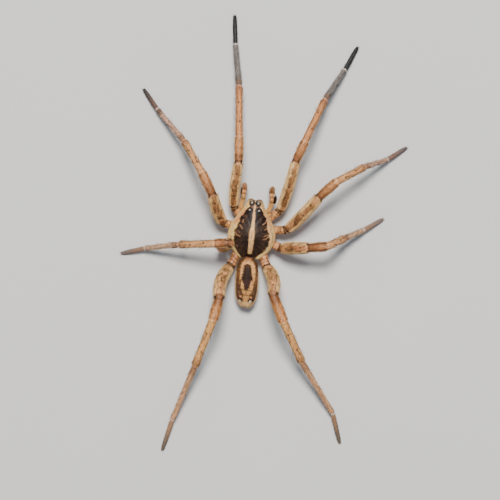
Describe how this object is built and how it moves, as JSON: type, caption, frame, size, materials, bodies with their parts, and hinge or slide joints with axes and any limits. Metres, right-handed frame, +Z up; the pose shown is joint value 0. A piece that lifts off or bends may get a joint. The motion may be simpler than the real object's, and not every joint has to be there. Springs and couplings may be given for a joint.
{
  "type": "wolf spider",
  "caption": "Life-size museum model of a male wolf spider, Tigrosa annexa, standing on the floor with its legs spread wide.",
  "frame": {"origin": "on the floor, under the centre of the whole spider's bounding box", "axes": "+Y towards the head, +Z up, +X to the spider's right side as seen from above with the head up"},
  "size_m": [0.0293, 0.0474, 0.0063],
  "materials": {
    "carapace": "dark brown cuticle under short flat hair, with cream bands",
    "abdomen": "soft skin under short hair, dark brown, cream and tan pattern",
    "limb": "tan to orange-brown cuticle with fine hair and mottling",
    "foot": "reddish brown, silvery grey and black on the first pair",
    "jaw": "dark brown, half glossy under sparse hair",
    "fang": "dark red-brown, polished",
    "eye": "black, wet gloss",
    "hair": "short flat hair, cream, tan or dark by its place",
    "spine": "dark brown bristles and claws"
  },
  "bodies": {
    "root": {"abdomen": "abdomen", "carapace": "carapace", "chelicera_left": "jaw", "chelicera_right": "jaw", "eye_front_middle_left": "eye", "eye_front_middle_right": "eye", "eye_front_side_left": "eye", "eye_front_side_right": "eye", "eye_rear_middle_left": "eye", "eye_rear_middle_right": "eye", "eye_rear_side_left": "eye", "eye_rear_side_right": "eye", "fang_left": "fang", "fang_right": "fang", "femur_left_1": "limb", "femur_left_2": "limb", "femur_left_3": "limb", "femur_left_4": "limb", "femur_right_1": "limb", "femur_right_2": "limb", "femur_right_3": "limb", "femur_right_4": "limb", "foot_left_1": "foot", "foot_left_2": "foot", "foot_left_3": "foot", "foot_left_4": "foot", "foot_right_1": "foot", "foot_right_2": "foot", "foot_right_3": "foot", "foot_right_4": "foot", "hip_left_1": "limb", "hip_left_2": "limb", "hip_left_3": "limb", "hip_left_4": "limb", "hip_right_1": "limb", "hip_right_2": "limb", "hip_right_3": "limb", "hip_right_4": "limb", "labium": "limb", "palp_arm_left": "limb", "palp_arm_right": "limb", "palp_hip_left": "limb", "palp_hip_right": "limb", "palp_tip_left": "limb", "palp_tip_right": "limb", "pedicel": "limb", "spinneret_left": "limb", "spinneret_right": "limb", "sternum": "limb", "tibia_left_1": "limb", "tibia_left_2": "limb", "tibia_left_3": "limb", "tibia_left_4": "limb", "tibia_right_1": "limb", "tibia_right_2": "limb", "tibia_right_3": "limb", "tibia_right_4": "limb"}
  },
  "joints": []
}
